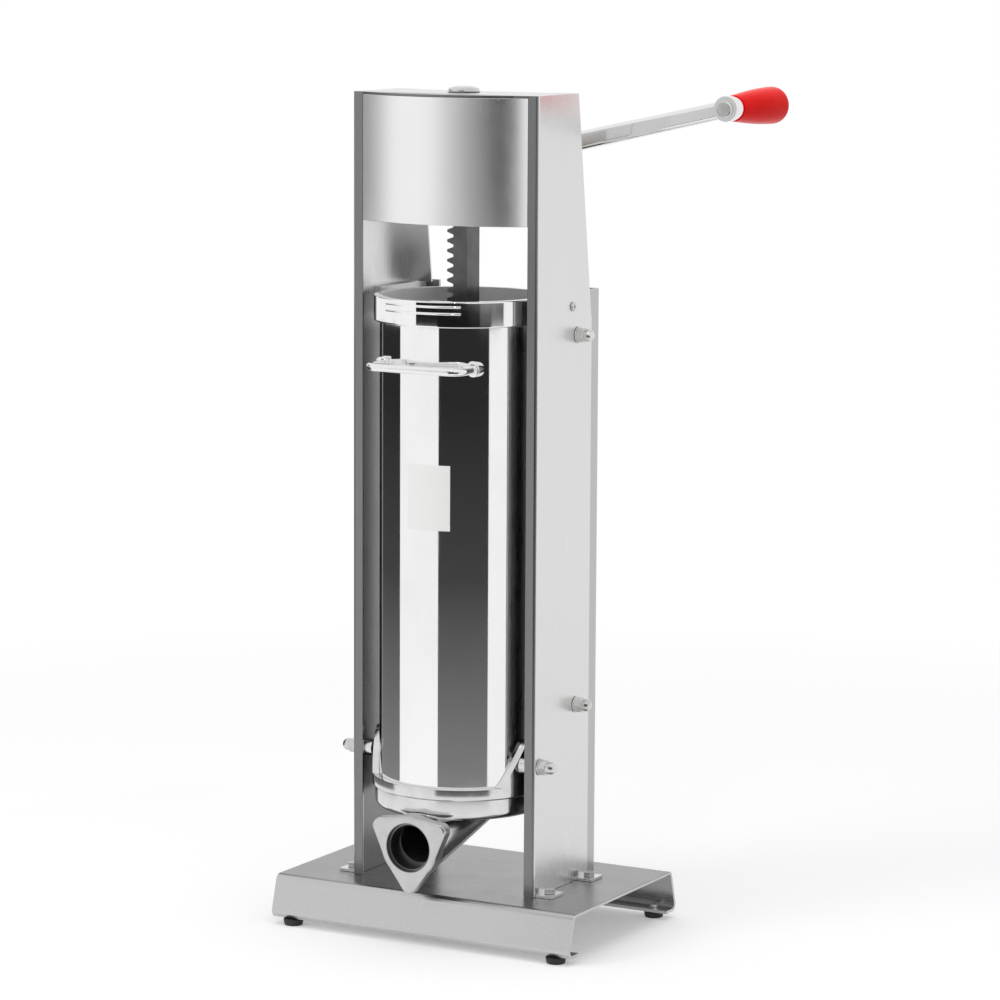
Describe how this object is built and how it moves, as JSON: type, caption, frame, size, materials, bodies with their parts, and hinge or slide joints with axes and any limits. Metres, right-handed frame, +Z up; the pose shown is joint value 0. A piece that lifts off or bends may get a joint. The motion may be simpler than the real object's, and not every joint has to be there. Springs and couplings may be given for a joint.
{
  "type": "sausage stuffer",
  "caption": "Upright hand-cranked sausage stuffer: a geared rack pushes a piston down a steel cylinder between two posts, and meat leaves at the spout below.",
  "frame": {"origin": "on the floor under the middle of the machine's bounding box", "axes": "+Z up along the rack's travel, -Y towards the filling spout, +X to the right as seen from the spout's side, where the crank points at rest"},
  "size_m": [0.4098, 0.317, 0.8203],
  "materials": {
    "brushed_steel": "fine vertical brushing, satin",
    "polished_steel": "polished stainless steel",
    "machined_steel": "machined, light oil",
    "bright_nut": "bright zinc and polish",
    "cast_aluminium": "cast and tumbled, satin",
    "bronze": "turned bearing bronze",
    "black_rubber": "moulded, matte",
    "white_plastic": "food-safe white plastic",
    "red_plastic": "smooth moulded red"
  },
  "bodies": {
    "stand": {"base_plate": "brushed_steel", "bearing_plate": "machined_steel", "bottom_cup": "cast_aluminium", "cup_gasket": "white_plastic", "cylinder": "polished_steel", "cylinder_collar": "polished_steel", "cylinder_handle": "polished_steel", "foot_front_left": "black_rubber", "foot_front_right": "black_rubber", "foot_rear_left": "black_rubber", "foot_rear_right": "black_rubber", "foot_screw_front_left": "bright_nut", "foot_screw_front_right": "bright_nut", "foot_screw_rear_left": "bright_nut", "foot_screw_rear_right": "bright_nut", "head_back_plate": "brushed_steel", "head_bottom_plate": "brushed_steel", "head_front_cover": "brushed_steel", "head_top_plate": "brushed_steel", "main_bush_front": "bronze", "main_bush_rear": "bronze", "pivot_pin_left": "bright_nut", "pivot_pin_right": "bright_nut", "post_bolt_left_front": "bright_nut", "post_bolt_left_rear": "bright_nut", "post_bolt_right_front": "bright_nut", "post_bolt_right_rear": "bright_nut", "post_left": "brushed_steel", "post_right": "brushed_steel", "rack_guide": "white_plastic", "rail_bolt_left_lower": "bright_nut", "rail_bolt_left_upper": "bright_nut", "rail_bolt_right_lower": "bright_nut", "rail_bolt_right_upper": "bright_nut", "rail_left": "brushed_steel", "rail_right": "brushed_steel", "rail_screw_left": "bright_nut", "rail_screw_right": "bright_nut", "slow_bush_front": "bronze", "slow_bush_rear": "bronze"},
    "rack": {"rack": "machined_steel", "rack_cap": "bright_nut", "piston": "cast_aluminium", "piston_seal": "white_plastic", "piston_nut": "bright_nut"},
    "main_shaft": {"main_shaft": "machined_steel", "rack_pinion": "machined_steel", "big_gear": "machined_steel", "crank_arm": "polished_steel", "crank_screw": "bright_nut", "grip_pin": "bright_nut", "grip_collar": "polished_steel"},
    "slow_shaft": {"slow_shaft": "machined_steel"},
    "crank_grip": {"crank_grip": "red_plastic"},
    "ring_nut": {"ring_nut": "cast_aluminium"}
  },
  "joints": [
    {"name": "rack_slide", "type": "slide", "parent": "stand", "child": "rack", "axis": [0, 0, 1], "range_m": [0, 0.479]},
    {"name": "crank_turn", "type": "hinge", "parent": "stand", "child": "main_shaft", "pos_m": [-0.06595, -0.05555, 0.744], "axis": [0, -1, 0], "range_deg": [0, 1526]},
    {"name": "slow_shaft_turn", "type": "hinge", "parent": "stand", "child": "slow_shaft", "pos_m": [-0.01195, -0.05555, 0.744], "axis": [0, -1, 0], "range_deg": [-5340, 0]},
    {"name": "grip_spin", "type": "hinge", "parent": "main_shaft", "child": "crank_grip", "pos_m": [0.18695, 0.04575, 0.80039], "axis": [0, -1, 0], "continuous": true},
    {"name": "ring_nut_turn", "type": "hinge", "parent": "stand", "child": "ring_nut", "pos_m": [-0.03995, -0.15855, 0.0995], "axis": [0, -1, 0], "continuous": true}
  ],
  "couplings": [
    {"joint": "crank_turn", "follows": "rack_slide", "rad_per_m": 55.556},
    {"joint": "slow_shaft_turn", "follows": "rack_slide", "rad_per_m": -194.44}
  ]
}
